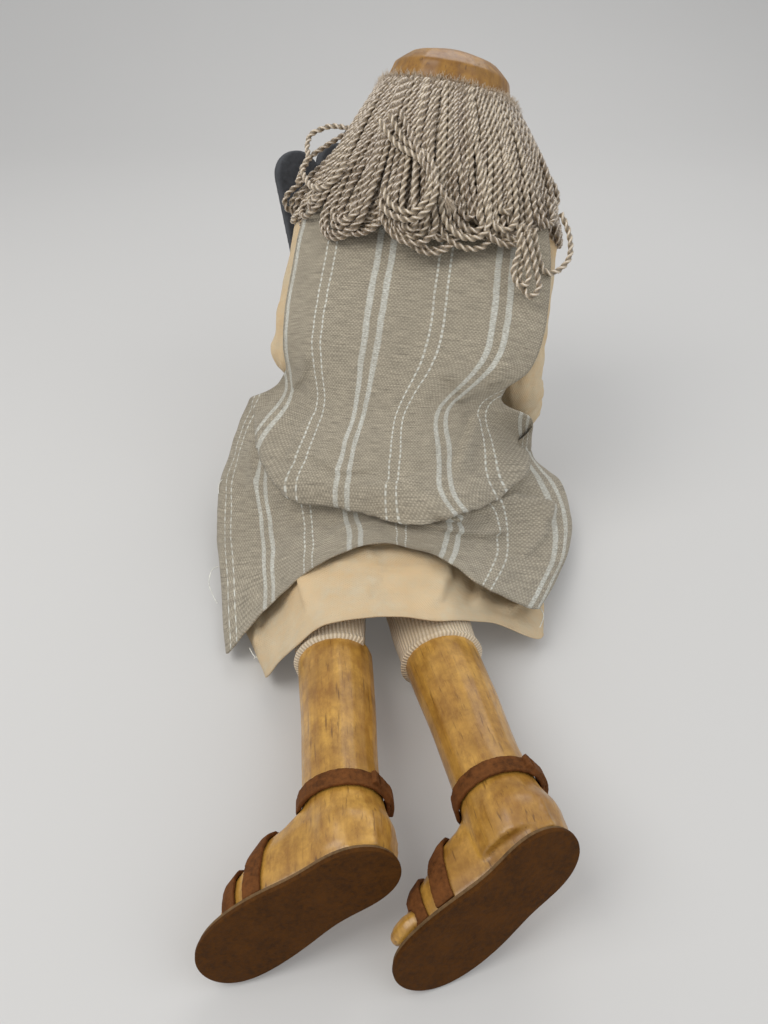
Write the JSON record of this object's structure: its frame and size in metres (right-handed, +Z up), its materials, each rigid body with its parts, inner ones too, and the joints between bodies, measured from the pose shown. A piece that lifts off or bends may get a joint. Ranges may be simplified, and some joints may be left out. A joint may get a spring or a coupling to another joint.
{
  "type": "folk art doll",
  "caption": "Jointed cloth and carved-wood doll in two tunics and sandals, lying propped on its hand, with yarn hair and round-topped tablets.",
  "frame": {"origin": "on the floor, under the middle of the bounding box", "axes": "+Z up, +Y from the feet towards the head, +X to the doll's right"},
  "size_m": [0.251, 0.5306, 0.2827],
  "materials": {
    "wood": "semi-gloss varnish over carved wood",
    "leather": "brushed brown leather",
    "sole_leather": "dark smooth sole leather",
    "muslin": "cream cotton muslin",
    "knit": "cream ribbed cotton knit, stuffed",
    "linen": "greige linen with woven white stripes",
    "yarn": "beige two-ply twisted yarn",
    "slate": "matt dark grey paint",
    "tape": "cotton tape and thread"
  },
  "bodies": {
    "hips": {"hips": "knit", "thigh_left": "knit", "thigh_right": "knit"},
    "trunk": {"trunk": "muslin", "head": "wood", "neck_binding": "tape", "hair": "yarn", "hair_tape": "tape", "under_tunic": "muslin", "over_tunic": "linen"},
    "arm_left": {"upper_arm_left": "muslin", "forearm_left": "wood", "sleeve_left": "muslin", "tablets": "slate"},
    "arm_right": {"upper_arm_right": "muslin", "forearm_right": "wood", "sleeve_right": "muslin"},
    "leg_left": {"lower_leg_left": "wood", "ankle_strap_left": "leather", "instep_strap_left": "leather", "toe_strap_left": "leather", "outsole_left": "sole_leather", "insole_left": "leather"},
    "leg_right": {"lower_leg_right": "wood", "ankle_strap_right": "leather", "instep_strap_right": "leather", "toe_strap_right": "leather", "outsole_right": "sole_leather", "insole_right": "leather"}
  },
  "joints": [
    {"name": "waist", "type": "hinge", "parent": "hips", "child": "trunk", "pos_m": [-0.01486, -0.01132, 0.03019], "axis": [0.9799, -0.1994, 0], "range_deg": [-75, 20], "deforming": ["hips", "under_tunic", "over_tunic"]},
    {"name": "shoulder_left", "type": "hinge", "parent": "trunk", "child": "arm_left", "pos_m": [-0.05684, 0.16608, 0.16903], "axis": [0.9799, -0.1994, 0], "range_deg": [-25, 50], "deforming": ["sleeve_left", "under_tunic", "over_tunic", "hair"]},
    {"name": "shoulder_right", "type": "hinge", "parent": "trunk", "child": "arm_right", "pos_m": [0.09309, 0.13558, 0.16903], "axis": [0.9799, -0.1994, 0], "range_deg": [-35, 110], "deforming": ["sleeve_right", "under_tunic", "over_tunic", "hair"]},
    {"name": "knee_left", "type": "hinge", "parent": "hips", "child": "leg_left", "pos_m": [-0.03634, -0.10297, 0.02319], "axis": [-0.9962, -0.0872, 0], "range_deg": [-15, 80], "deforming": ["thigh_left", "under_tunic", "over_tunic"]},
    {"name": "knee_right", "type": "hinge", "parent": "hips", "child": "leg_right", "pos_m": [0.02298, -0.10147, 0.02319], "axis": [-0.9799, -0.1994, 0], "range_deg": [-15, 80], "deforming": ["thigh_right", "under_tunic", "over_tunic"]}
  ]
}
